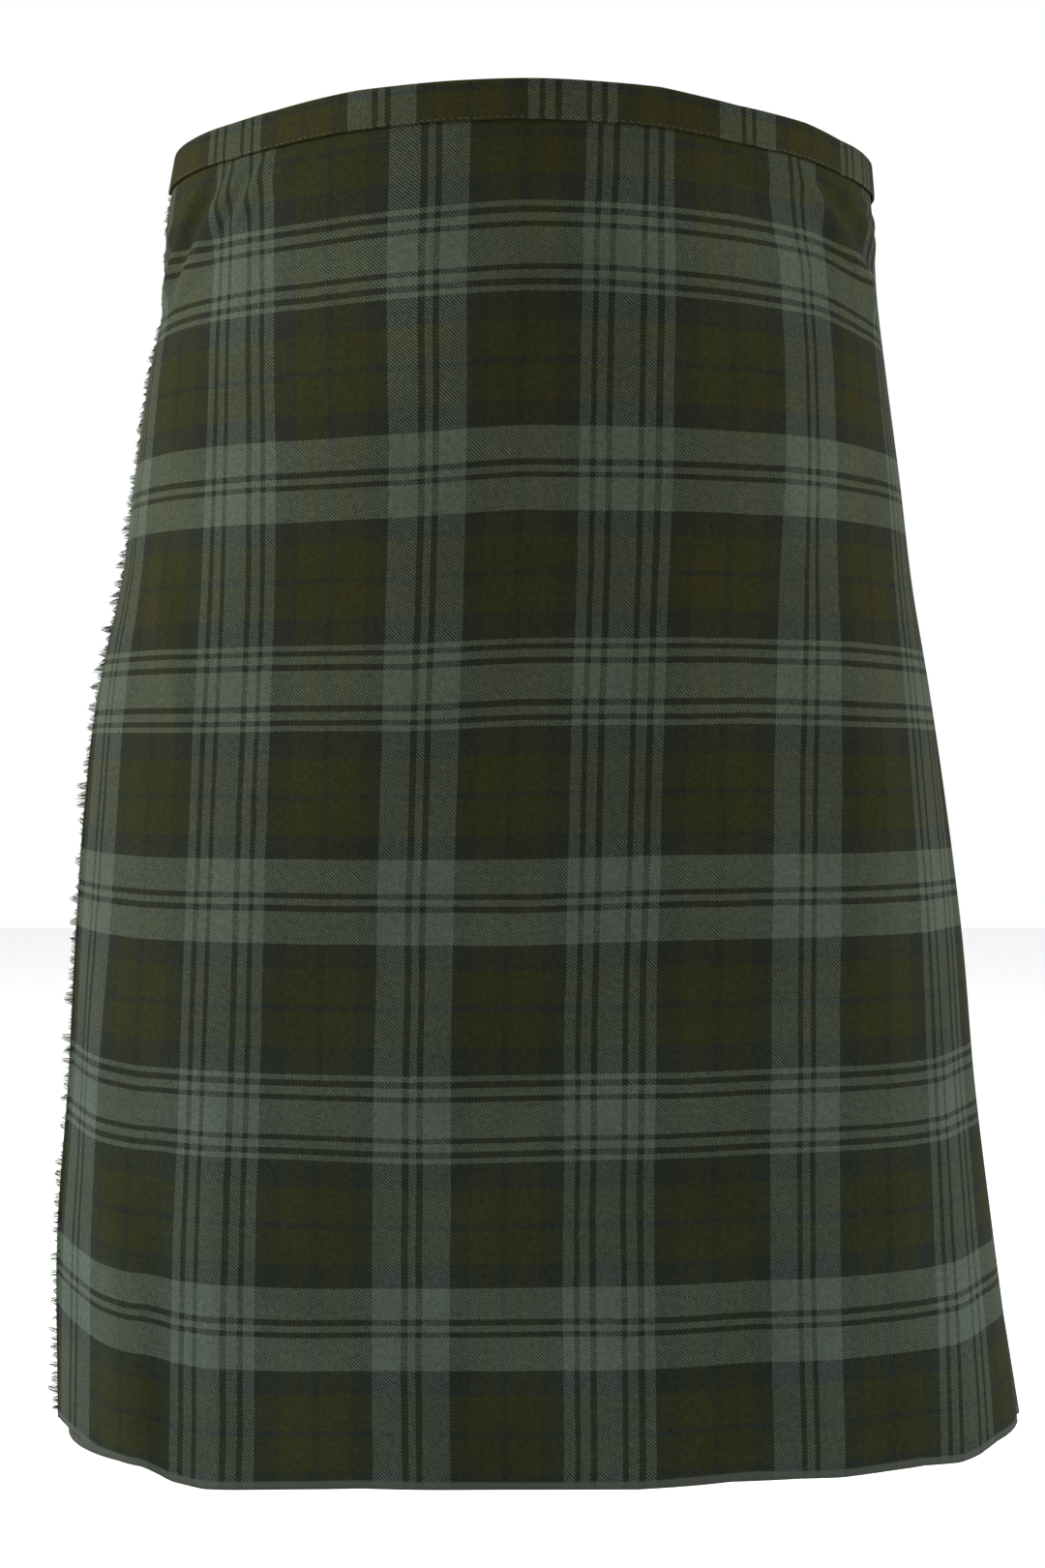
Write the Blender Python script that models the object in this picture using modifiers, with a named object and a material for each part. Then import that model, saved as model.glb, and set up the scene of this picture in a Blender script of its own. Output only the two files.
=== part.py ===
"""A casual kilt, filled out as if worn: aprons, knife pleats, waistband, fringe, straps and buckles.

Metres, +Z up, the front faces -Y and +X is the wearer's left. The origin is the centre of the waist,
halfway up the waistband. Every piece of cloth is a sheet on one form, turned into a wall with Solidify.

A place on the form is (run, height, out). Run is the distance along the level section, counted from
the front centre towards +X and on round the back. One whole turn is the section's length, and the
layers that lie under the over apron are reached by running on past it. Out is measured from the
outer face of the cloth, away from the wearer.
"""

import math

import bmesh
import bpy
import numpy as np

# Cloth
TOP = 0.0085
HEM = -0.602
BAND_WIDTH = 0.017
WALL = 0.0012
GAP = 0.0003
BAND_WALL = 0.0014
BAND_GAP = 0.0004

# Over apron: where its two edges lie on the form at the hem, and how far the grain leans
FRINGE_RUN = -0.243
FOLD_RUN = 0.268
GRAIN_LEAN = 0.009

# The over apron's lower edge: how far it hangs above the hem's height at each run
HEM_LINE = (
    (-0.243, 0.0110), (-0.232, 0.0105), (-0.215, 0.0080), (-0.201, 0.0042), (-0.171, 0.0026),
    (-0.158, -0.0026), (-0.142, -0.0044), (-0.123, -0.0034), (-0.100, -0.0020), (-0.070, -0.0006),
    (0.050, -0.0006), (0.076, 0.0009), (0.101, 0.0026), (0.141, 0.0012), (0.180, 0.0028),
    (0.202, 0.0010), (0.216, 0.0022), (0.233, 0.0048), (0.268, 0.0060),
)
HEM_LINE_POWER = 8

# Heights of the rows of points, closer together where the hips are drawn into folds
PANEL_TOP = TOP - 0.0006
LOWER_HEIGHTS = np.linspace(-0.120, HEM, 9)
APRON_HEIGHTS = np.concatenate([np.linspace(PANEL_TOP, -0.084, 12), LOWER_HEIGHTS])
PLAIN_HEIGHTS = (PANEL_TOP, -0.030, -0.058, -0.088, *LOWER_HEIGHTS[0::2])

# Layers, each the middle of a wall
TOP_LAYER = -WALL / 2
LAYER_STEP = 0.0018
UNDER_LAYER = -0.0053
TURN = LAYER_STEP / 2

# Pleats
PLEATS = 18
PLEATS_A_PIECE = 6
LAP_BEHIND_FRINGE = 0.032
PLEAT_DEPTH = 0.75
HEM_LIFT = 0.0045
HEM_OPENING = 0.0016
HIP_OPENING = 0.0020
STRAP_ROOM = 0.0006
UNDER_EDGE_RUN = 0.233
PLEAT_SWAY = 0.0022
LIFT_VARIATION = 0.35
FLATTER_FOLDS = {0: 0.3, 17: 0.6, 18: 0.15}

# Fringe
STRANDS = 150
STRAND_LENGTH = 0.0099
STRAND_VARIATION = 0.0016
STRAND_RISE = 0.0016
STRAND_STAND = 0.0030
STAND_VARIATION = 0.0008
BACKING_WIDTH = 0.0016
BACKING_STEP = 4
FRINGE_CLEAR = 0.004
TIP_CLEAR = 0.002

# What is uneven swings with a sine of the piece's number. Each: rate and phase
SWAY_SWING = (2.3, 0.7)
LIFT_SWING = (1.9, 0.4)
REACH_SWING = (5.1, 0.0)
RISE_SWING = (2.7, 1.0)
STAND_SWING = (3.3, 0.5)

# Straps and buckles
STRAP_HEIGHT = -0.058
STRAP_WIDTH = 0.025
STRAP_WALL = 0.002
TAB_WIDTH = 0.021
TAB_WALL = 0.0016
SLOT_WIDTH = 0.0052
WIRE = 0.0014
PRONG_WIRE = 0.0009
FRONT_BAR = (0.040, 0.0046)
HEEL_BAR = (0.062, 0.0043)
BAR_CLEAR = 0.0006
BUCKLE_WIDTH = 0.034
BUCKLE_CORNER = 0.004

# The form's level sections. Each row: height, half width to the wearer's right (-X) and left (+X),
# depth in front of the origin, where it is widest, depth behind, and how square the curve is in front
# and behind.
SECTION_COLUMNS = ("height", "left", "right", "front", "wide", "back", "square", "square_behind")
SECTIONS = (
    (0.0085, 0.1690, 0.1695, 0.1200, 0.022, 0.112, 1.76, 2.20),
    (-0.025, 0.1745, 0.1720, 0.1200, 0.023, 0.115, 1.79, 2.20),
    (-0.060, 0.1755, 0.1740, 0.1200, 0.024, 0.119, 1.83, 2.20),
    (-0.100, 0.1833, 0.1785, 0.1200, 0.024, 0.126, 1.89, 2.22),
    (-0.150, 0.1900, 0.1845, 0.1200, 0.023, 0.132, 1.98, 2.25),
    (-0.200, 0.1960, 0.1898, 0.1200, 0.022, 0.136, 2.09, 2.29),
    (-0.250, 0.2072, 0.1974, 0.1200, 0.021, 0.137, 2.20, 2.33),
    (-0.310, 0.2135, 0.2054, 0.1200, 0.020, 0.138, 2.32, 2.38),
    (-0.370, 0.2170, 0.2120, 0.1200, 0.019, 0.140, 2.42, 2.42),
    (-0.440, 0.2200, 0.2172, 0.1200, 0.018, 0.144, 2.52, 2.46),
    (-0.510, 0.2243, 0.2247, 0.1200, 0.017, 0.149, 2.66, 2.50),
    (-0.602, 0.2240, 0.2358, 0.1200, 0.017, 0.156, 2.80, 2.50),
)
SECTION_POINTS = 720

# The largest folds of the front. Each row: the two ends as run and height, half width, and depth,
# negative for a trough.
FOLD_COLUMNS = ("run_a", "height_a", "run_b", "height_b", "half_width", "depth")
FOLDS = (
    (-0.166, -0.011, -0.228, -0.076, 0.0060, 0.0045),
    (-0.154, -0.012, -0.214, -0.068, 0.0050, -0.0020),
    (-0.138, -0.012, -0.207, -0.080, 0.0065, 0.0035),
    (0.126, -0.012, 0.226, -0.078, 0.0070, 0.0040),
    (0.146, -0.012, 0.224, -0.056, 0.0050, -0.0020),
    (0.164, -0.011, 0.232, -0.044, 0.0060, 0.0026),
    (0.150, -0.150, 0.190, -0.660, 0.0200, 0.0035),
    (-0.215, -0.340, -0.165, -0.680, 0.0180, 0.0030),
)

SHADES = {
    "tartan": ((0.045, 0.050, 0.032), 0.85, 0.0),
    "fringe": ((0.050, 0.052, 0.030), 0.9, 0.0),
    "leather": ((0.020, 0.016, 0.013), 0.5, 0.0),
    "metal": ((0.52, 0.52, 0.50), 0.3, 1.0),
}


def clear_scene():
    for obj in list(bpy.data.objects):
        bpy.data.objects.remove(obj, do_unlink=True)


def ease(value):
    """0 below 0, 1 above 1, and a smooth step between."""
    value = min(max(value, 0.0), 1.0)
    return value * value * (3 - 2 * value)


def swing(number, rate_and_phase):
    """An uneven value between -1 and 1 for the piece of this number."""
    rate, phase = rate_and_phase
    return math.sin(rate * number + phase)


def drop(height):
    """0 at the top edge and 1 at the hem."""
    return (TOP - height) / (TOP - HEM)


def section_sizes(height):
    """The sizes of the level section at this height, on a smooth curve through the table's rows."""
    rows = np.array(SECTIONS)
    heights = rows[:, 0]
    slopes = np.gradient(rows, heights, axis=0)
    upper = int(np.clip(np.searchsorted(-heights, -height) - 1, 0, len(rows) - 2))
    span = heights[upper + 1] - heights[upper]
    t = (height - heights[upper]) / span
    start, end = rows[upper], rows[upper + 1]
    values = (
        (2 * t**3 - 3 * t**2 + 1) * start
        + (t**3 - 2 * t**2 + t) * span * slopes[upper]
        + (3 * t**2 - 2 * t**3) * end
        + (t**3 - t**2) * span * slopes[upper + 1]
    )
    return dict(zip(SECTION_COLUMNS, values))


sections_made = {}


def section(height):
    """The level section as x, y and run arrays, run 0 at the front centre, and its whole length."""
    key = round(height, 6)
    if key not in sections_made:
        size = section_sizes(height)
        turn = np.linspace(0, 2 * math.pi, SECTION_POINTS + 1)
        across, along = np.sin(turn), np.cos(turn)
        power = 2 / np.where(along > 0, size["square"], size["square_behind"])
        half_width = np.where(across > 0, size["right"], size["left"])
        half_depth = np.where(along > 0, size["front"] + size["wide"], size["back"] - size["wide"])
        x = half_width * np.sign(across) * np.abs(across) ** power
        y = size["wide"] - half_depth * np.sign(along) * np.abs(along) ** power
        run = np.concatenate([[0], np.cumsum(np.hypot(np.diff(x), np.diff(y)))])
        sections_made[key] = (x, y, run, run[-1])
    return sections_made[key]


def girth(height):
    return section(height)[3]


def fold_relief(run, height):
    """How far the largest folds push the cloth in or out here."""
    relief = 0.0
    for values in FOLDS:
        fold = dict(zip(FOLD_COLUMNS, values))
        along = (fold["run_b"] - fold["run_a"], fold["height_b"] - fold["height_a"])
        length = math.hypot(*along)
        across = (run - fold["run_a"], height - fold["height_a"])
        t = (across[0] * along[0] + across[1] * along[1]) / length**2
        if 0 < t < 1:
            side = (across[0] * along[1] - across[1] * along[0]) / length
            fade = ease(t / 0.3) * ease((1 - t) / 0.3)
            relief += fold["depth"] * fade * math.exp(-((side / fold["half_width"]) ** 2))
    return relief


def place(run, height, out):
    """The point of the form at this run and height, moved out along the section's normal."""
    x, y, runs, length = section(height)
    turned = run % length
    here = np.array([np.interp(turned, runs, x), np.interp(turned, runs, y)])
    step = 0.004
    before, after = (turned - step) % length, (turned + step) % length
    along = np.array(
        [
            np.interp(after, runs, x) - np.interp(before, runs, x),
            np.interp(after, runs, y) - np.interp(before, runs, y),
        ]
    )
    along /= np.hypot(*along)
    outward = np.array([along[1], -along[0]])
    here = here + outward * out
    return (here[0], here[1], height)


def lean(height):
    """The cloth's grain leans a little, so its edges shift along the run with height."""
    return GRAIN_LEAN * (1 - drop(height))


def fringe_edge(height):
    """Run of the over apron's fringe edge, counted on round the back."""
    return girth(height) + FRINGE_RUN + lean(height)


def pleat_edge(index, height):
    """Run of a pleat's fold edge. Number 0 is the over apron's own, at the wearer's left hip."""
    first = FOLD_RUN + lean(height)
    last = fringe_edge(height) - LAP_BEHIND_FRINGE * (1 + 0.3 * drop(height))
    sway = PLEAT_SWAY * swing(index, SWAY_SWING) * drop(height) ** 2
    if index in (0, PLEATS):
        sway = 0.0
    return first + (last - first) * index / PLEATS + sway


def pleat_lift(index, height):
    """How far a fold edge stands out: more towards the hem, uneven, and less at the two sides."""
    uneven = 1 + LIFT_VARIATION * swing(index, LIFT_SWING)
    return HEM_LIFT * FLATTER_FOLDS.get(index, 1.0) * uneven * drop(height) ** 2


def inner_edge(index, height):
    """Run of the hidden inner fold behind a fold edge."""
    spacing = (pleat_edge(PLEATS, height) - pleat_edge(0, height)) / PLEATS
    return pleat_edge(index, height) - PLEAT_DEPTH * spacing


def layer_step(height):
    """Distance between the layers of one pleat, which opens a little towards the hem."""
    return LAYER_STEP + HEM_OPENING * drop(height) ** 2


def third_layer(index, height):
    """Middle of the layer that comes out from under fold edge number index."""
    if index == PLEATS:
        return UNDER_LAYER - HEM_OPENING * drop(height) ** 2
    depth = TOP_LAYER - 2 * LAYER_STEP - HEM_OPENING * drop(height) ** 2
    if index == 0:
        near_strap = (height - STRAP_HEIGHT) / (STRAP_WIDTH * 1.6)
        depth -= HIP_OPENING + STRAP_ROOM * math.exp(-(near_strap**4))
    return depth


def strip_level(index, run, height):
    """Middle of the strip that ends at fold edge number index, which slopes as tiles do."""
    end_level = TOP_LAYER + pleat_lift(index, height)
    if index == 0:
        return TOP_LAYER
    start, end = pleat_edge(index - 1, height), pleat_edge(index, height)
    start_level = third_layer(index - 1, height)
    return start_level + (end_level - start_level) * (run - start) / (end - start)


def fold_under(index, height):
    """The stretch from a pleat's fold edge back to its hidden inner fold, as (run, out) points."""
    edge = pleat_edge(index, height)
    upper = TOP_LAYER + pleat_lift(index, height)
    lower = upper - layer_step(height)
    inner = inner_edge(index, height)
    return [
        (edge - TURN, upper),
        (edge, (upper + lower) / 2),
        (edge - TURN, lower),
        (inner + TURN, strip_level(index, inner, height) - layer_step(height)),
    ]


def inner_turn(index, height):
    """The hidden inner fold itself, where the cloth turns to run forward again."""
    inner = inner_edge(index, height)
    return [(inner, strip_level(index, inner, height) - 1.5 * layer_step(height))]


def come_out(index, height):
    """The layer that runs forward from the inner fold until it clears fold edge number index."""
    inner = inner_edge(index, height)
    hidden = third_layer(0, height)
    if index:
        hidden = strip_level(index, inner, height) - 2 * layer_step(height)
    return [(inner + TURN, hidden), (pleat_edge(index, height), third_layer(index, height))]


def over_apron_profile(height):
    left = FRINGE_RUN + lean(height)
    right = pleat_edge(0, height)
    fine_left = np.linspace(left, left + 0.104, 15)
    middle = np.linspace(left + 0.104, right - 0.140, 13)[1:-1]
    fine_right = np.linspace(right - 0.140, right - 0.010, 15)
    points = []
    for run in (*fine_left, *middle, *fine_right):
        lift = pleat_lift(0, height) * ease((run - right + 0.060) / 0.055)
        points.append((run, TOP_LAYER + lift + fold_relief(run, height)))
    return points + fold_under(0, height)


def back_profile(first, height):
    """One length of the back: the pleats whose fold edges are numbered from first."""
    points = []
    for index in range(first, first + PLEATS_A_PIECE):
        if index > first:
            points += inner_turn(index - 1, height)
        points += come_out(index - 1, height)
        points += fold_under(index, height)
    return points


def under_apron_profile(height):
    start = pleat_edge(PLEATS, height)
    end = girth(height) + UNDER_EDGE_RUN + lean(height)
    level = third_layer(PLEATS, height)
    shown = [(run, level) for run in np.linspace(start, end, 27)[1:]]
    return come_out(PLEATS, height) + shown


def band_profile(height):
    """The waistband runs once round on the outside, then on under the over apron."""
    outer = BAND_GAP + BAND_WALL / 2
    inner = UNDER_LAYER + WALL / 2 + GAP + BAND_WALL / 2
    start = FRINGE_RUN + lean(height)
    dive_from = pleat_edge(PLEATS, height) + 0.002
    dive_to = fringe_edge(height) - 0.004
    end = girth(height) + UNDER_EDGE_RUN + lean(height)
    points = [(run, outer) for run in np.linspace(start, dive_from, 84)]
    points += [
        (dive_from + t * (dive_to - dive_from), outer + (inner - outer) * ease(t))
        for t in (0.25, 0.5, 0.75)
    ]
    points += [(run, inner) for run in np.linspace(dive_to, end, 40)]
    return points


def hem_rise(run, height):
    """The over apron's lower edge hangs unevenly, and its corner at the fringe edge higher."""
    length = girth(height)
    signed = (run + length / 2) % length - length / 2
    return np.interp(signed, *zip(*HEM_LINE)) * drop(height) ** HEM_LINE_POWER


def add_object(name, mesh, shade, collection):
    obj = bpy.data.objects.new(name, mesh)
    collection.objects.link(obj)
    obj.data.materials.append(material(shade))
    return obj


def material(shade):
    if shade in bpy.data.materials:
        return bpy.data.materials[shade]
    colour, roughness, metallic = SHADES[shade]
    made = bpy.data.materials.new(shade)
    made.use_nodes = True
    shader = made.node_tree.nodes["Principled BSDF"]
    shader.inputs["Base Color"].default_value = (*colour, 1)
    shader.inputs["Roughness"].default_value = roughness
    shader.inputs["Metallic"].default_value = metallic
    return made


def sheet_mesh(name, rows, holes=()):
    """A sheet from rows of points, all of one length, leaving out the cells named in holes."""
    mesh = bmesh.new()
    grid = [[mesh.verts.new(point) for point in row] for row in rows]
    for i, (upper, lower) in enumerate(zip(grid, grid[1:])):
        for j in range(len(upper) - 1):
            if (i, j) not in holes:
                mesh.faces.new((upper[j], lower[j], lower[j + 1], upper[j + 1]))
    sheet = bpy.data.meshes.new(name)
    mesh.to_mesh(sheet)
    mesh.free()
    sheet.shade_smooth()
    return sheet


def make_wall(name, rows, wall, shade, collection, holes=()):
    """A sheet thickened evenly to both sides."""
    obj = add_object(name, sheet_mesh(name, rows, holes), shade, collection)
    thicken = obj.modifiers.new("wall", "SOLIDIFY")
    thicken.thickness = wall
    thicken.offset = 0
    return obj


def cloth_rows(profile, heights, rising=False):
    rows = []
    for height in heights:
        row = []
        for run, out in profile(height):
            lifted = height + hem_rise(run, height) if rising else height
            x, y, _ = place(run, height, out)
            row.append((x, y, lifted))
        rows.append(row)
    return rows


def make_cloth(collection):
    rows = cloth_rows(over_apron_profile, APRON_HEIGHTS, rising=True)
    make_wall("over_apron", rows, WALL, "tartan", collection)
    for first, side in zip(range(1, PLEATS, PLEATS_A_PIECE), ("left", "centre", "right")):
        def profile(height, first=first):
            return back_profile(first, height)

        make_wall(f"back_pleats_{side}", cloth_rows(profile, PLAIN_HEIGHTS), WALL, "tartan", collection)
    rows = cloth_rows(under_apron_profile, PLAIN_HEIGHTS)
    make_wall("under_apron", rows, WALL, "tartan", collection)
    rows = cloth_rows(band_profile, (TOP, TOP - BAND_WIDTH))
    make_wall("waistband", rows, BAND_WALL, "tartan", collection)


def strand_tip(index, height):
    """Where a strand ends: its reach past the root, its rise, and how far it stands out."""
    reach = STRAND_LENGTH + STRAND_VARIATION * swing(index, REACH_SWING)
    rise = STRAND_RISE * swing(index, RISE_SWING)
    stand = STRAND_STAND + STAND_VARIATION * swing(index, STAND_SWING)
    return reach, max(rise, HEM + TIP_CLEAR - height), stand


def make_fringe(collection):
    """The frayed edge: pointed strands drawn out of every second cell of a narrow strip."""
    top = TOP - BAND_WIDTH - 0.001
    bottom = HEM + FRINGE_CLEAR
    heights = np.linspace(top, bottom, 2 * STRANDS + 1)
    mesh = bmesh.new()

    def column(gap, out, step):
        """Points down the strip, on straight lines between the apron's own rows, as its edge is."""
        edge = []
        for height in APRON_HEIGHTS:
            run = FRINGE_RUN + lean(height) - gap
            x, y, _ = place(run, height, out + fold_relief(run, height))
            edge.append((x, y, height + hem_rise(run, height)))
        shared = [np.interp(-heights[::step], -APRON_HEIGHTS, axis) for axis in np.transpose(edge)]
        return [mesh.verts.new(point) for point in zip(*shared)]

    near_out, near_in = column(GAP, 0.0, BACKING_STEP), column(GAP, -WALL, BACKING_STEP)
    far_out = column(GAP + BACKING_WIDTH, 0.0, 1)
    far_in = column(GAP + BACKING_WIDTH, -WALL, 1)
    for i in range(2 * STRANDS):
        root = (far_out[i], far_out[i + 1], far_in[i + 1], far_in[i])
        if i % 2:
            mesh.faces.new(root)
            continue
        middle = (heights[i] + heights[i + 1]) / 2
        reach, rise, stand = strand_tip(i // 2, middle)
        run = FRINGE_RUN + lean(middle) - GAP - BACKING_WIDTH - reach
        x, y, _ = place(run, middle, TOP_LAYER + stand)
        tip = mesh.verts.new((x, y, middle + rise + hem_rise(run, middle)))
        for start, end in zip(root, root[1:] + root[:1]):
            mesh.faces.new((start, end, tip))
    for i in range(len(near_out) - 1):
        cells = slice(BACKING_STEP * i, BACKING_STEP * (i + 1) + 1)
        mesh.faces.new([near_out[i], *far_out[cells], near_out[i + 1]])
        mesh.faces.new([near_in[i], *far_in[cells], near_in[i + 1]])
        mesh.faces.new((near_out[i], near_out[i + 1], near_in[i + 1], near_in[i]))
    for end in (0, -1):
        mesh.faces.new((near_out[end], far_out[end], far_in[end], near_in[end]))
    bmesh.ops.recalc_face_normals(mesh, faces=mesh.faces)
    fringe = bpy.data.meshes.new("apron_fringe")
    mesh.to_mesh(fringe)
    mesh.free()
    add_object("apron_fringe", fringe, "fringe", collection)


def hip_place(side, along, across, out):
    """A place on a hip: along the strap from the apron's edge, across it, and out from the cloth."""
    if side == "right":
        run = fringe_edge(STRAP_HEIGHT) - along
    else:
        run = pleat_edge(0, STRAP_HEIGHT) + along
    half = BUCKLE_WIDTH / 2
    lower = np.array(place(run, STRAP_HEIGHT - half, out))
    upper = np.array(place(run, STRAP_HEIGHT + half, out))
    return tuple(lower + (upper - lower) * (across + half) / (2 * half))


# Paths along the hips. Each row: distance from the apron's edge, and the middle of the leather
# measured out from the cloth. A strap starts on its hidden path and goes on along the shown one.
HIDDEN_PATHS = {
    "right": (
        (-0.020, -0.0031),
        (-0.010, -0.0031),
        (0.000, -0.0031),
        (0.010, -0.0027),
        (0.021, 0.0012),
    ),
    "left": (
        (-0.054, -0.0028),
        (-0.044, -0.0028),
        (-0.034, -0.0028),
        (-0.020, -0.0048),
        (-0.010, -0.0048),
        (0.001, -0.0046),
        (0.010, -0.0015),
        (0.020, 0.0015),
    ),
}
SHOWN_PATH = (
    (0.027, 0.0018),
    (0.036, 0.0018),
    (0.044, 0.0018),
    (0.048, 0.0024),
    (0.053, 0.0056),
    (0.057, 0.0082),
    (0.062, 0.0096),
    (0.067, 0.0090),
    (0.075, 0.0063),
    (0.085, 0.0054),
    (0.097, 0.0052),
    (0.104, 0.0046),
    (0.110, 0.0038),
    (0.114, 0.0034),
)
STRAP_SLOT = (0.047, 0.0625)
TIP_START = 0.104
TIP_ROUNDING = 0.9

# The tab lies flat from its sewn end, goes round the heel bar and comes back over itself.
TAB_LOWER = (0.096, 0.084, 0.072)
TAB_UPPER = (0.084, 0.096)
TAB_COMING_DOWN = ((0.067, 0.0059), (0.074, 0.0039))
TAB_WRAP_STEPS = 6


def strap_half_width(along, tip):
    """Full width, then a rounded point."""
    if along <= TIP_START:
        return STRAP_WIDTH / 2
    t = (along - TIP_START) / (tip - TIP_START)
    return STRAP_WIDTH / 2 * math.sqrt(1 - TIP_ROUNDING * t * t)


def make_strap(side, collection):
    path = HIDDEN_PATHS[side] + SHOWN_PATH
    tip = path[-1][0]
    rows = []
    for along, out in path:
        half = strap_half_width(along, tip)
        slot = SLOT_WIDTH / 2
        rows.append([hip_place(side, along, across, out) for across in (-half, -slot, slot, half)])
    holes = {
        (i, 1)
        for i in range(len(path) - 1)
        if path[i][0] >= STRAP_SLOT[0] and path[i + 1][0] <= STRAP_SLOT[1]
    }
    make_wall(f"strap_{side}", rows, STRAP_WALL, "leather", collection, holes)


def tab_path():
    """The loop of leather that holds the buckle: out along the cloth, round the bar and back."""
    lower = 2 * GAP + TAB_WALL / 2
    radius = WIRE + BAR_CLEAR + TAB_WALL / 2
    points = [(along, lower) for along in TAB_LOWER]
    for step in range(TAB_WRAP_STEPS + 1):
        angle = -math.pi / 2 - math.pi * step / TAB_WRAP_STEPS
        points.append((HEEL_BAR[0] + radius * math.cos(angle), HEEL_BAR[1] + radius * math.sin(angle)))
    upper = lower + TAB_WALL + GAP
    return [*points, *TAB_COMING_DOWN, *((along, upper) for along in TAB_UPPER)]


def make_tab(side, collection):
    path = tab_path()
    across = (-TAB_WIDTH / 2, -SLOT_WIDTH / 2, SLOT_WIDTH / 2, TAB_WIDTH / 2)
    rows = [[hip_place(side, along, a, out) for a in across] for along, out in path]
    last_slot = len(TAB_LOWER) + TAB_WRAP_STEPS + len(TAB_COMING_DOWN)
    holes = {(i, 1) for i in range(len(TAB_LOWER) - 1, last_slot)}
    make_wall(f"buckle_tab_{side}", rows, TAB_WALL, "leather", collection, holes)


def wire_object(name, points, radius, shade, collection, closed):
    curve = bpy.data.curves.new(name, "CURVE")
    curve.dimensions = "3D"
    curve.bevel_depth = radius
    curve.bevel_resolution = 2
    curve.use_fill_caps = not closed
    spline = curve.splines.new("POLY")
    spline.points.add(len(points) - 1)
    for made, point in zip(spline.points, points):
        made.co = (*point, 1)
    spline.use_cyclic_u = closed
    return add_object(name, curve, shade, collection)


def make_buckle(side, collection):
    """A rectangular frame of wire, a little raised, sloping from the front bar to the heel bar."""
    corner = BUCKLE_CORNER
    points = []
    middle = (FRONT_BAR[0] + HEEL_BAR[0]) / 2
    half_long = (HEEL_BAR[0] - FRONT_BAR[0]) / 2
    half_wide = BUCKLE_WIDTH / 2
    for sign_along, sign_across, start in ((1, 1, 0), (-1, 1, 90), (-1, -1, 180), (1, -1, 270)):
        for step in range(4):
            angle = math.radians(start + 30 * step)
            along = sign_along * (half_long - corner) + corner * math.cos(angle)
            across = sign_across * (half_wide - corner) + corner * math.sin(angle)
            share = (along + half_long) / (2 * half_long)
            out = FRONT_BAR[1] + (HEEL_BAR[1] - FRONT_BAR[1]) * share
            points.append(hip_place(side, middle + along, across, out))
    wire_object(f"buckle_{side}", points, WIRE, "metal", collection, closed=True)


def make_prong(side, collection):
    """A tongue curled round the heel bar, lying on the front bar."""
    radius = WIRE + BAR_CLEAR + PRONG_WIRE
    path = []
    for step in range(8):
        angle = math.radians(-165 + 255 * step / 7)
        path.append((HEEL_BAR[0] + radius * math.cos(angle), HEEL_BAR[1] + radius * math.sin(angle)))
    rest = FRONT_BAR[1] + WIRE + GAP + PRONG_WIRE
    path += [(0.055, HEEL_BAR[1] + radius), (0.047, rest - 0.0001), (FRONT_BAR[0] - 0.002, rest)]
    points = [hip_place(side, along, 0.0, out) for along, out in path]
    wire_object(f"prong_{side}", points, PRONG_WIRE, "metal", collection, closed=False)


def make_fastenings(collection):
    for side in ("right", "left"):
        make_strap(side, collection)
        make_tab(side, collection)
        make_buckle(side, collection)
        make_prong(side, collection)


def main():
    clear_scene()
    collection = bpy.data.collections.new("kilt")
    bpy.context.scene.collection.children.link(collection)
    make_cloth(collection)
    make_fringe(collection)
    make_fastenings(collection)


main()
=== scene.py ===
"""The kilt's looks: woven tartan cloth, frayed edge, stitching, leather straps and steel buckles.

Metres, in the frame of the solids: +Z up, the front faces -Y, +X is the wearer's left. The cloth
follows the same form as the solids, on a finer grid: a place is (run, height, out), with run the
distance along the level section from the front centre towards +X and on round the back.
"""

import math

import bmesh
import bpy
import numpy as np
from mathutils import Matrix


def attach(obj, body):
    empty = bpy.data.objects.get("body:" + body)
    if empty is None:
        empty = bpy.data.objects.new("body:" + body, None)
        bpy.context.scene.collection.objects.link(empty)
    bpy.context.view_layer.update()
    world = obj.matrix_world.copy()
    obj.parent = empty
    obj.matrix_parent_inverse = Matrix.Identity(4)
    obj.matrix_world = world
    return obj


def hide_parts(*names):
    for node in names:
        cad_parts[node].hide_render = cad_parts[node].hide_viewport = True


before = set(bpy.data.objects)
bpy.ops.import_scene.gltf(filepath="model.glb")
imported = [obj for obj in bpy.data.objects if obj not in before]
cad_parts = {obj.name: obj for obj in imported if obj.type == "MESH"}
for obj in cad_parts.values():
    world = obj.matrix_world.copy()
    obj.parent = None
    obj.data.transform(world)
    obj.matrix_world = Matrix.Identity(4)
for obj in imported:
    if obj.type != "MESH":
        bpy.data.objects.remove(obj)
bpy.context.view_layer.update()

RANDOM_SEED = 7

# Form, as in the solids
TOP = 0.0085
HEM = -0.602
BAND_WIDTH = 0.017
WALL = 0.0012
GAP = 0.0003
BAND_WALL = 0.0014
BAND_GAP = 0.0004
FRINGE_RUN = -0.243
FOLD_RUN = 0.268
GRAIN_LEAN = 0.009
HEM_LINE = (
    (-0.243, 0.0110), (-0.232, 0.0105), (-0.215, 0.0080), (-0.201, 0.0042), (-0.171, 0.0026),
    (-0.158, -0.0026), (-0.142, -0.0044), (-0.123, -0.0034), (-0.100, -0.0020), (-0.070, -0.0006),
    (0.050, -0.0006), (0.076, 0.0009), (0.101, 0.0026), (0.141, 0.0012), (0.180, 0.0028),
    (0.202, 0.0010), (0.216, 0.0022), (0.233, 0.0048), (0.268, 0.0060),
)
HEM_LINE_POWER = 8

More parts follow.
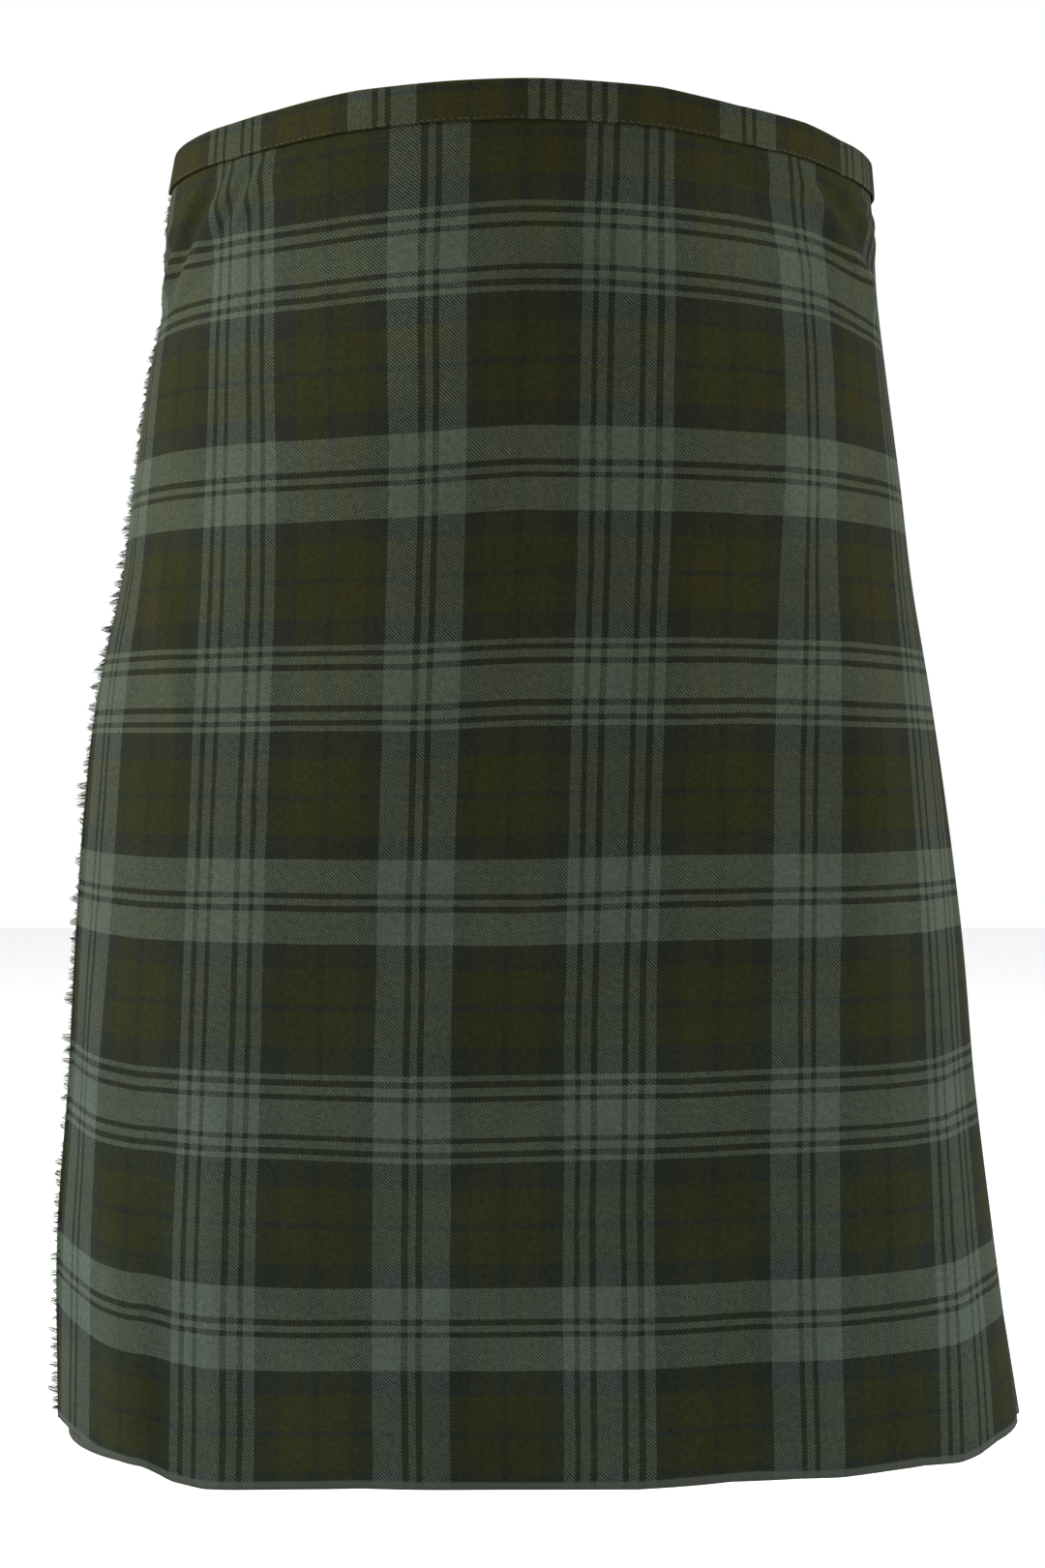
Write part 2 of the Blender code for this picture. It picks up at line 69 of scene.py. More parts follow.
# How far the waist's top edge dips at each run, easing out a little below the waistband
WAIST_LINE = (
    (-0.300, 0.0), (-0.200, -0.0010), (-0.150, -0.0022), (-0.120, -0.0020), (-0.098, -0.0009),
    (-0.075, 0.0), (0.062, 0.0), (0.080, -0.0014), (0.101, -0.0029), (0.145, -0.0032),
    (0.175, -0.0050), (0.210, -0.0045), (0.300, 0.0),
)
WAIST_LINE_REACH = 0.050
PANEL_TOP = TOP - 0.0006
TOP_LAYER = -WALL / 2
LAYER_STEP = 0.0018
UNDER_LAYER = -0.0053
PLEATS = 18
PLEATS_A_PIECE = 6
LAP_BEHIND_FRINGE = 0.032
PLEAT_DEPTH = 0.75
HEM_LIFT = 0.0045
HEM_OPENING = 0.0016
HIP_OPENING = 0.0020
STRAP_ROOM = 0.0006
UNDER_EDGE_RUN = 0.233
PLEAT_SWAY = 0.0022
LIFT_VARIATION = 0.35
FLATTER_FOLDS = {0: 0.3, 17: 0.6, 18: 0.15}
SWAY_SWING = (2.3, 0.7)
LIFT_SWING = (1.9, 0.4)
STRAP_HEIGHT = -0.058
STRAP_WIDTH = 0.025
STRAP_WALL = 0.002
TAB_WIDTH = 0.021
TAB_WALL = 0.0016
SLOT_WIDTH = 0.0052
WIRE = 0.0014
PRONG_WIRE = 0.0009
FRONT_BAR = (0.040, 0.0046)
HEEL_BAR = (0.062, 0.0043)
BAR_CLEAR = 0.0006
BUCKLE_WIDTH = 0.034
BUCKLE_CORNER = 0.004

SECTION_COLUMNS = ("height", "left", "right", "front", "wide", "back", "square", "square_behind")
SECTIONS = (
    (0.0085, 0.1690, 0.1695, 0.1200, 0.022, 0.112, 1.76, 2.20),
    (-0.025, 0.1745, 0.1720, 0.1200, 0.023, 0.115, 1.79, 2.20),
    (-0.060, 0.1755, 0.1740, 0.1200, 0.024, 0.119, 1.83, 2.20),
    (-0.100, 0.1833, 0.1785, 0.1200, 0.024, 0.126, 1.89, 2.22),
    (-0.150, 0.1900, 0.1845, 0.1200, 0.023, 0.132, 1.98, 2.25),
    (-0.200, 0.1960, 0.1898, 0.1200, 0.022, 0.136, 2.09, 2.29),
    (-0.250, 0.2072, 0.1974, 0.1200, 0.021, 0.137, 2.20, 2.33),
    (-0.310, 0.2135, 0.2054, 0.1200, 0.020, 0.138, 2.32, 2.38),
    (-0.370, 0.2170, 0.2120, 0.1200, 0.019, 0.140, 2.42, 2.42),
    (-0.440, 0.2200, 0.2172, 0.1200, 0.018, 0.144, 2.52, 2.46),
    (-0.510, 0.2243, 0.2247, 0.1200, 0.017, 0.149, 2.66, 2.50),
    (-0.602, 0.2240, 0.2358, 0.1200, 0.017, 0.156, 2.80, 2.50),
)
SECTION_POINTS = 1440

# Folds of the front. Each row: the two ends as run and height, half width, and depth, negative for
# a trough. The first eight are the solids' own.
FOLD_COLUMNS = ("run_a", "height_a", "run_b", "height_b", "half_width", "depth")
FOLDS = (
    (-0.166, -0.011, -0.228, -0.076, 0.0060, 0.0045),
    (-0.154, -0.012, -0.214, -0.068, 0.0050, -0.0020),
    (-0.138, -0.012, -0.207, -0.080, 0.0065, 0.0035),
    (0.126, -0.012, 0.226, -0.078, 0.0070, 0.0040),
    (0.146, -0.012, 0.224, -0.056, 0.0050, -0.0020),
    (0.164, -0.011, 0.232, -0.044, 0.0060, 0.0026),
    (0.150, -0.150, 0.190, -0.660, 0.0200, 0.0035),
    (-0.215, -0.340, -0.165, -0.680, 0.0180, 0.0030),
    (-0.120, -0.010, -0.150, -0.046, 0.0040, 0.0020),
    (-0.131, -0.010, -0.160, -0.050, 0.0030, -0.0012),
    (-0.102, -0.010, -0.128, -0.030, 0.0035, 0.0012),
    (-0.178, -0.011, -0.236, -0.056, 0.0040, 0.0022),
    (0.176, -0.011, 0.236, -0.030, 0.0040, 0.0018),
    (0.096, -0.010, 0.150, -0.040, 0.0060, 0.0010),
    (-0.110, -0.230, -0.128, -0.330, 0.0060, 0.0009),
    (-0.118, -0.250, -0.132, -0.345, 0.0045, -0.0008),
    (-0.102, -0.290, -0.140, -0.318, 0.0050, 0.0008),
    (-0.190, -0.180, -0.150, -0.300, 0.0090, 0.0014),
    (-0.140, -0.400, -0.132, -0.640, 0.0100, 0.0014),
    (-0.168, -0.430, -0.160, -0.660, 0.0080, -0.0012),
    (0.120, -0.100, 0.140, -0.330, 0.0120, 0.0012),
    (0.196, -0.300, 0.214, -0.680, 0.0120, 0.0018),
    (0.060, -0.360, 0.072, -0.660, 0.0200, 0.0010),
    (-0.030, -0.300, -0.046, -0.680, 0.0220, 0.0010),
    (0.020, -0.080, 0.010, -0.300, 0.0200, -0.0007),
)

# Tartan, in metres. Each row: width and yarn from the middle of the wide light group (two pairs of
# thin dark lines) to the middle of the next (one pair), for the warp and for the weft.
WARP_HALF = 0.0853
WEFT_HALF = 0.0935
WARP_ROWS = (
    (5.1, "light"), (2.85, "dark"), (4.2, "light"), (2.5, "dark"), (4.7, "light"), (10.5, "dark"),
    (13.4, "olive"), (3.35, "dark"), (13.0, "olive"), (9.2, "dark"), (11.7, "light"), (2.7, "dark"),
    (1.9, "light"),
)
WEFT_ROWS = (
    (7.4, "light"), (2.7, "dark"), (3.5, "light"), (2.7, "dark"), (2.7, "light"), (12.1, "dark"),
    (15.4, "olive"), (2.9, "dark"), (15.1, "olive"), (10.8, "dark"), (14.4, "light"), (2.3, "dark"),
    (1.75, "light"),
)
WARP_START = 0.0375
THREAD = 0.0004
TWILL = 0.0016

# Heights of the middles of the weft's six light groups down the front centre
BAND_HEIGHTS = (-0.0627, -0.1596, -0.2518, -0.3481, -0.4418, -0.5322)
# How much higher each of those bands, and the hem, lies at these runs than at the front centre, in mm
BAND_RUNS = (-0.243, -0.215, -0.180, -0.140, -0.100, -0.050, 0.000, 0.050, 0.100, 0.150, 0.190, 0.230)
BAND_SHIFTS = (
    (-2.5, -1.7, -1.7, -2.5, -3.3, -2.3, 0.0, 0.0, 0.1, -0.9, -5.6, -8.1),
    (-2.5, -2.5, -2.7, -3.4, -3.8, -2.9, 0.0, 0.1, 0.1, 1.2, 0.5, 0.4),
    (-2.0, -2.2, -2.4, -2.6, -2.6, -2.5, 0.0, 0.3, 0.7, 0.2, 0.1, -0.2),
    (3.0, 1.4, 0.1, 0.0, -0.3, -0.3, 0.0, 1.4, 2.1, 2.0, 2.2, 2.9),
    (6.0, 3.2, -0.3, -0.1, -0.1, -1.0, 0.0, 0.9, 1.5, 1.6, 1.6, 3.5),
    (7.5, 3.6, -0.2, -0.3, -1.2, -0.4, 0.0, 0.6, 1.0, 1.0, 1.5, 3.0),
    (0.0, 0.0, 0.0, 0.0, 0.0, 0.0, 0.0, 0.0, 0.0, 0.0, 0.0, 0.0),
)
# How far the warp lies from its own measure along the run, in mm, at these runs and heights
WARP_RUNS = (-0.243, -0.143, -0.049, 0.038, 0.128, 0.268)
WARP_HEIGHTS = (-0.030, -0.060, -0.100, -0.150, -0.200, -0.250, -0.300, -0.400, -0.500, -0.590)
WARP_SHIFTS = (
    (-16.0, -19.0, -0.8, 2.4, 5.6, 4.0),
    (-16.0, -17.9, -1.3, 0.8, 12.8, 7.0),
    (-12.0, -14.0, -0.6, 0.4, 13.6, 8.0),
    (-8.0, -10.0, 0.2, 0.4, 11.6, 7.0),
    (-5.0, -7.1, -0.2, -0.1, 6.7, 4.0),
    (-3.0, -5.4, -0.9, -1.1, 4.0, 2.0),
    (-2.0, -5.4, -1.9, -1.9, 2.5, 1.0),
    (-2.0, -6.6, -2.5, -2.9, 1.1, 0.0),
    (-3.0, -7.5, -1.8, -2.1, 0.8, 0.0),
    (-3.0, -7.1, -0.1, 0.0, 3.4, 1.0),
)

# Yarn colours, linear
WARP_YARNS = {
    "light": (0.0350, 0.0425, 0.0335),
    "dark": (0.0088, 0.0102, 0.0070),
    "olive": (0.0124, 0.0134, 0.0046),
}
WEFT_YARNS = {
    "light": (0.0365, 0.0430, 0.0298),
    "dark": (0.0088, 0.0102, 0.0070),
    "olive": (0.0122, 0.0132, 0.0044),
}
SELVEDGE = (0.038, 0.043, 0.036)


def ease(value):
    value = np.clip(value, 0.0, 1.0)
    return value * value * (3 - 2 * value)


def swing(number, rate_and_phase):
    rate, phase = rate_and_phase
    return math.sin(rate * number + phase)


def drop(height):
    """0 at the top edge and 1 at the hem."""
    return (TOP - height) / (TOP - HEM)


def section_sizes(height):
    rows = np.array(SECTIONS)
    heights = rows[:, 0]
    slopes = np.gradient(rows, heights, axis=0)
    upper = int(np.clip(np.searchsorted(-heights, -height) - 1, 0, len(rows) - 2))
    span = heights[upper + 1] - heights[upper]
    t = (height - heights[upper]) / span
    start, end = rows[upper], rows[upper + 1]
    values = (
        (2 * t**3 - 3 * t**2 + 1) * start
        + (t**3 - 2 * t**2 + t) * span * slopes[upper]
        + (3 * t**2 - 2 * t**3) * end
        + (t**3 - t**2) * span * slopes[upper + 1]
    )
    return dict(zip(SECTION_COLUMNS, values))


sections_made = {}


def section(height):
    key = round(float(height), 6)
    if key not in sections_made:
        size = section_sizes(height)
        turn = np.linspace(0, 2 * math.pi, SECTION_POINTS + 1)
        across, along = np.sin(turn), np.cos(turn)
        power = 2 / np.where(along > 0, size["square"], size["square_behind"])
        half_width = np.where(across > 0, size["right"], size["left"])
        half_depth = np.where(along > 0, size["front"] + size["wide"], size["back"] - size["wide"])
        x = half_width * np.sign(across) * np.abs(across) ** power
        y = size["wide"] - half_depth * np.sign(along) * np.abs(along) ** power
        run = np.concatenate([[0], np.cumsum(np.hypot(np.diff(x), np.diff(y)))])
        sections_made[key] = (x, y, run, run[-1])
    return sections_made[key]


def girth(height):
    return section(height)[3]


def relief(run, height):
    """How far the folds push the cloth in or out, for a row of runs at one height."""
    total = np.zeros(np.shape(run))
    for values in FOLDS:
        fold = dict(zip(FOLD_COLUMNS, values))
        along = (fold["run_b"] - fold["run_a"], fold["height_b"] - fold["height_a"])
        length = math.hypot(*along)
        across = (run - fold["run_a"], height - fold["height_a"])
        t = (across[0] * along[0] + across[1] * along[1]) / length**2
        side = (across[0] * along[1] - across[1] * along[0]) / length
        fade = ease(t / 0.3) * ease((1 - t) / 0.3)
        total += fold["depth"] * fade * np.exp(-((side / fold["half_width"]) ** 2))
    return total


def place(run, height, out):
    """Points of the form for a row of runs at one height, moved out along the section's normal."""
    x, y, runs, length = section(height)
    signed = (np.asarray(run) + length / 2) % length - length / 2
    dip = np.interp(signed, *zip(*WAIST_LINE)) * ease(1 - (TOP - height) / WAIST_LINE_REACH)
    turned = np.asarray(run) % length
    step = 0.004
    before, after = (turned - step) % length, (turned + step) % length
    along_x = np.interp(after, runs, x) - np.interp(before, runs, x)
    along_y = np.interp(after, runs, y) - np.interp(before, runs, y)
    size = np.hypot(along_x, along_y)
    px = np.interp(turned, runs, x) + along_y / size * out
    py = np.interp(turned, runs, y) - along_x / size * out
    return np.stack([px, py, height + dip], axis=-1)


def lean(height):
    return GRAIN_LEAN * (1 - drop(height))


def fringe_edge(height):
    return girth(height) + FRINGE_RUN + lean(height)


def pleat_edge(index, height):
    first = FOLD_RUN + lean(height)
    last = fringe_edge(height) - LAP_BEHIND_FRINGE * (1 + 0.3 * drop(height))
    sway = PLEAT_SWAY * swing(index, SWAY_SWING) * drop(height) ** 2
    if index in (0, PLEATS):
        sway = 0.0
    return first + (last - first) * index / PLEATS + sway


def pleat_lift(index, height):
    uneven = 1 + LIFT_VARIATION * swing(index, LIFT_SWING)
    return HEM_LIFT * FLATTER_FOLDS.get(index, 1.0) * uneven * drop(height) ** 2


def inner_edge(index, height):
    spacing = (pleat_edge(PLEATS, height) - pleat_edge(0, height)) / PLEATS
    return pleat_edge(index, height) - PLEAT_DEPTH * spacing


def layer_step(height):
    return LAYER_STEP + HEM_OPENING * drop(height) ** 2


def third_layer(index, height):
    if index == PLEATS:
        return UNDER_LAYER - HEM_OPENING * drop(height) ** 2
    depth = TOP_LAYER - 2 * LAYER_STEP - HEM_OPENING * drop(height) ** 2
    if index == 0:
        near_strap = (height - STRAP_HEIGHT) / (STRAP_WIDTH * 1.6)
        depth -= HIP_OPENING + STRAP_ROOM * math.exp(-(near_strap**4))
    return depth


def strip_level(index, run, height):
    end_level = TOP_LAYER + pleat_lift(index, height)
    if index == 0:
        return TOP_LAYER + 0 * run
    start, end = pleat_edge(index - 1, height), pleat_edge(index, height)
    start_level = third_layer(index - 1, height)
    return start_level + (end_level - start_level) * (run - start) / (end - start)


def signed_run(run, height):
    """The run counted both ways from the front centre."""
    length = girth(height)
    return (run + length / 2) % length - length / 2


def hem_rise(run, height):
    return np.interp(signed_run(run, height), *zip(*HEM_LINE)) * drop(height) ** HEM_LINE_POWER


# Places on the cloth itself: u across the warp and v down the weft, in metres


def cloth_u(run, height):
    """Place across the cloth for a row of runs on the over apron."""
    shifts = np.array(WARP_SHIFTS) / 1000
    heights = -np.array(WARP_HEIGHTS)
    row = [np.interp(-height, heights, column) for column in shifts.T]
    return run - lean(height) - np.interp(run - lean(height), WARP_RUNS, row)


def smooth_table(rows, height):
    """One row of the table's columns at this height, on a smooth curve between the rows."""
    heights = -np.array([*BAND_HEIGHTS, HEM])
    at = np.clip(-height, heights[0], heights[-1])
    index = int(np.clip(np.searchsorted(heights, at) - 1, 0, len(heights) - 2))
    t = ease((at - heights[index]) / (heights[index + 1] - heights[index]))
    return rows[index] * (1 - t) + rows[index + 1] * t


def weft_measure(height):
    """Distance down the cloth, counted from the first band's middle, along the front centre."""
    heights = -np.array(BAND_HEIGHTS)
    counts = np.arange(len(heights)) * WEFT_HALF
    down = -np.asarray(height, float)
    before = (down - heights[0]) * (WEFT_HALF / 0.0955)
    after = counts[-1] + (down - heights[-1])
    inside = np.interp(down, heights, counts)
    return np.where(down < heights[0], before, np.where(down > heights[-1], after, inside))


def cloth_v(run, height):
    """Place down the cloth for a row of runs. Past the hips it follows the height alone."""
    signed = signed_run(run, height)
    shift = np.interp(signed, BAND_RUNS, smooth_table(np.array(BAND_SHIFTS) / 1000, height))
    return weft_measure(height - shift * ease((0.44 - np.abs(signed)) / 0.18))


# Meshes


def grid_object(name, points, u_left, u_right, v, material):
    """A sheet from rows and columns of points. u_left and u_right hold each cell's two values."""
    rows, columns = points.shape[:2]
    index = np.arange(rows * columns).reshape(rows, columns)
    quads = np.stack([index[:-1, :-1], index[1:, :-1], index[1:, 1:], index[:-1, 1:]], axis=-1)
    mesh = bpy.data.meshes.new(name)
    mesh.from_pydata(points.reshape(-1, 3).tolist(), [], quads.reshape(-1, 4).tolist())
    uv = np.empty((rows - 1, columns - 1, 4, 2))
    uv[:, :, 0, 0], uv[:, :, 1, 0] = u_left[:-1], u_left[1:]
    uv[:, :, 2, 0], uv[:, :, 3, 0] = u_right[1:], u_right[:-1]
    uv[:, :, 0, 1], uv[:, :, 1, 1] = v[:-1, :-1], v[1:, :-1]
    uv[:, :, 2, 1], uv[:, :, 3, 1] = v[1:, 1:], v[:-1, 1:]
    layer = mesh.uv_layers.new(name="cloth")
    layer.data.foreach_set("uv", uv.reshape(-1))
    mesh.shade_smooth()
    mesh.update()
    obj = bpy.data.objects.new(name, mesh)
    bpy.context.scene.collection.objects.link(obj)
    mesh.materials.append(material)
    return obj


def thicken(obj, wall):
    modifier = obj.modifiers.new("wall", "SOLIDIFY")
    modifier.thickness = wall
    modifier.offset = 0
    modifier.use_even_offset = False


def dress(obj, node):
    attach(obj, "root")
    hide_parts(node)


def rows_of(profile, heights, rising=False):
    """Points, u values on both sides of each column, and v, for a profile at each height."""
    points, left, right, measure = [], [], [], []
    for height in heights:
        run, out, u_in, u_out = profile(height)
        row = place(run, height, out)
        if rising:
            row[:, 2] += hem_rise(run, height)
        points.append(row)
        left.append(u_out[:-1])
        right.append(u_in[1:])
        measure.append(cloth_v(run, height))
    return np.array(points), np.array(left), np.array(right), np.array(measure)


def half_turn(edge, upper, lower, steps, forward=True):
    """Points round a fold, from one layer to the next, the fold's nose at edge."""
    radius = (upper - lower) / 2
    angles = np.linspace(math.pi / 2, -math.pi / 2, steps + 1)
    nose = radius * np.cos(angles)
    run = edge - radius + nose if forward else edge + radius - nose
    return run, (upper + lower) / 2 + radius * np.sin(angles)


def over_apron_profile(height):
    left = FRINGE_RUN + lean(height)
    right = pleat_edge(0, height)
    upper = TOP_LAYER + pleat_lift(0, height)
    lower = upper - layer_step(height)
    radius = (upper - lower) / 2
    run = np.linspace(left, right - radius, 166)
    out = TOP_LAYER + pleat_lift(0, height) * ease((run - right + 0.060) / 0.055)
    out = out + relief(run, height)
    out[-1] = upper
    u = cloth_u(run, height)
    nose_run, nose_out = half_turn(right, upper, lower, 4)
    inner = inner_edge(0, height)
    back_run = np.linspace(nose_run[-1], inner + radius, 8)[1:]
    back_out = np.linspace(lower, strip_level(0, inner, height) - layer_step(height), 8)[1:]
    after = np.arange(1, 5) * math.pi * radius / 4
    u_nose = u[-1] + after
    u_back = u_nose[-1] + (nose_run[-1] - back_run)
    u_all = np.concatenate([u, u_nose, u_back])
    runs = np.concatenate([run, nose_run[1:], back_run])
    return runs, np.concatenate([out, nose_out[1:], back_out]), u_all, u_all


def fold_measure(index):
    """Place across the cloth of a pleat's fold edge: the pleats are laid so that the pattern goes on."""
    return FOLD_RUN + index * WARP_HALF / 4


def waves(index, t, height):
    """Slight unevenness of a pleat's visible strip, growing towards the hem."""
    low = drop(height)
    crown = 0.0007 * math.sin(math.pi * min(1.0, 1.6 * low)) * np.sin(math.pi * t)
    wave = 0.0008 * low * np.sin(math.pi * t) * math.sin(9.0 * low + 2.1 * index)
    return crown + wave


def back_profile(first, height):
    step = layer_step(height)
    runs, outs, u_in, u_out = [], [], [], []

    def add(run, out, u, u_after=None):
        runs.extend(run)
        outs.extend(out)
        u_in.extend(u)
        u_out.extend(u if u_after is None else u_after)

    for index in range(first, first + PLEATS_A_PIECE):
        start, edge = pleat_edge(index - 1, height), pleat_edge(index, height)
        before_inner = inner_edge(index - 1, height)
        hidden = third_layer(0, height)
        if index > 1:
            hidden = strip_level(index - 1, before_inner, height) - 2 * step
        measure = fold_measure(index)
        upper = TOP_LAYER + pleat_lift(index, height)
        lower = upper - step
        radius = step / 2
        if index > first:
            previous_lower = strip_level(index - 1, before_inner, height) - step
            nose_run, nose_out = half_turn(before_inner, previous_lower, hidden, 4, forward=False)
            behind = fold_measure(index - 1) + (pleat_edge(index - 1, height) - before_inner)
            u_nose = np.full(5, behind)
            u_next = measure - (edge - nose_run)
            mixed = np.where(np.arange(5) < 2, u_nose, u_next)
            after = np.where(np.arange(5) <= 1, u_nose, u_next)
            add(nose_run[1:4], nose_out[1:4], mixed[1:4], after[1:4])
        run = np.linspace(before_inner + radius, start, 8)
        out = np.linspace(hidden, third_layer(index - 1, height), 8)
        add(run[:-1], out[:-1], measure - (edge - run[:-1]))
        t = np.linspace(0, 1, 13)
        run = start + (edge - radius - start) * t
        out = strip_level(index, run, height) + waves(index, t, height)
        out[-1] = upper
        add(run, out, measure - (edge - run))
        nose_run, nose_out = half_turn(edge, upper, lower, 4)
        add(nose_run[1:], nose_out[1:], measure - radius + np.arange(1, 5) * math.pi * radius / 4)
        inner = inner_edge(index, height)
        run = np.linspace(edge - radius, inner + radius, 8)
        out = np.linspace(lower, strip_level(index, inner, height) - step, 8)
        add(run[1:], out[1:], measure + (edge - run[1:]))
    return np.array(runs), np.array(outs), np.array(u_in), np.array(u_out)


def under_apron_profile(height):
    start = pleat_edge(PLEATS, height)
    inner = inner_edge(PLEATS, height)
    end = girth(height) + UNDER_EDGE_RUN + lean(height)
    level = third_layer(PLEATS, height)
    hidden = strip_level(PLEATS, inner, height) - 2 * layer_step(height)
    come_run = np.linspace(inner + LAYER_STEP / 2, start, 8)
    come_out = np.linspace(hidden, level, 8)
    run = np.linspace(start, end, 110)
    out = np.full(110, level)
    u = fold_measure(PLEATS) + (np.concatenate([come_run, run[1:]]) - start)
    return np.concatenate([come_run, run[1:]]), np.concatenate([come_out, out[1:]]), u, u


def fine_heights(count, near_top):
    """Heights from the top edge to the hem, closer together near the top."""
    t = np.linspace(0, 1, count)
    bent = t + near_top * np.sin(2 * math.pi * t) / (2 * math.pi) * -1
    return PANEL_TOP + (HEM - PANEL_TOP) * bent


# Materials


class Nodes:
    """A short way to write node trees."""

    def __init__(self, material):
        material.use_nodes = True
        self.tree = material.node_tree
        self.shader = self.tree.nodes["Principled BSDF"]

    def link(self, value, socket):
        if isinstance(value, bpy.types.NodeSocket):
            self.tree.links.new(value, socket)
        else:
            socket.default_value = value

    def node(self, kind, output=0, settings=None, **inputs):
        made = self.tree.nodes.new(kind)
        for key, value in (settings or {}).items():
            setattr(made, key, value)
        for key, value in inputs.items():
            self.link(value, made.inputs[key.replace("_", " ")])
        return made.outputs[output]

    def math(self, operation, a, b=0.0, c=0.0):
        made = self.tree.nodes.new("ShaderNodeMath")
        made.operation = operation
        for socket, value in zip(made.inputs, (a, b, c)):
            self.link(value, socket)
        return made.outputs[0]

    def mix(self, factor, a, b, blend="MIX"):
        made = self.tree.nodes.new("ShaderNodeMix")
        made.data_type = "RGBA"
        made.blend_type = blend
        self.link(factor, made.inputs[0])
        for value, socket in ((a, made.inputs[6]), (b, made.inputs[7])):
            self.link(value if isinstance(value, bpy.types.NodeSocket) else (*value, 1), socket)
        return made.outputs[2]

    def remap(self, value, low, high, new_low=0.0, new_high=1.0, smooth=False):
        made = self.tree.nodes.new("ShaderNodeMapRange")
        if smooth:
            made.interpolation_type = "SMOOTHSTEP"
        for socket, given in zip(made.inputs, (value, low, high, new_low, new_high)):
            self.link(given, socket)
        return made.outputs[0]

    def noise(self, vector, scale, detail=2.0, roughness=0.5):
        return self.node(
            "ShaderNodeTexNoise", 0, None, Vector=vector, Scale=scale, Detail=detail, Roughness=roughness
        )

    def stripes(self, place, rows, half, yarns):
        """The yarn's colour across one half of the repeat, mirrored for the other."""
        ramp = self.tree.nodes.new("ShaderNodeValToRGB")
        ramp.color_ramp.interpolation = "CONSTANT"
        total = sum(width for width, _ in rows)
        at = 0.0
        elements = ramp.color_ramp.elements
        while len(elements) < len(rows):
            elements.new(0.5)
        for element, (width, yarn) in zip(list(elements), rows):
            element.position = at / total
            at += width
        for element, (width, yarn) in zip(sorted(elements, key=lambda e: e.position), rows):
            element.color = (*yarns[yarn], 1 if yarn == "olive" else 0)
        folded = self.math("PINGPONG", place, half)
        self.link(self.math("DIVIDE", folded, half), ramp.inputs[0])
        return ramp.outputs


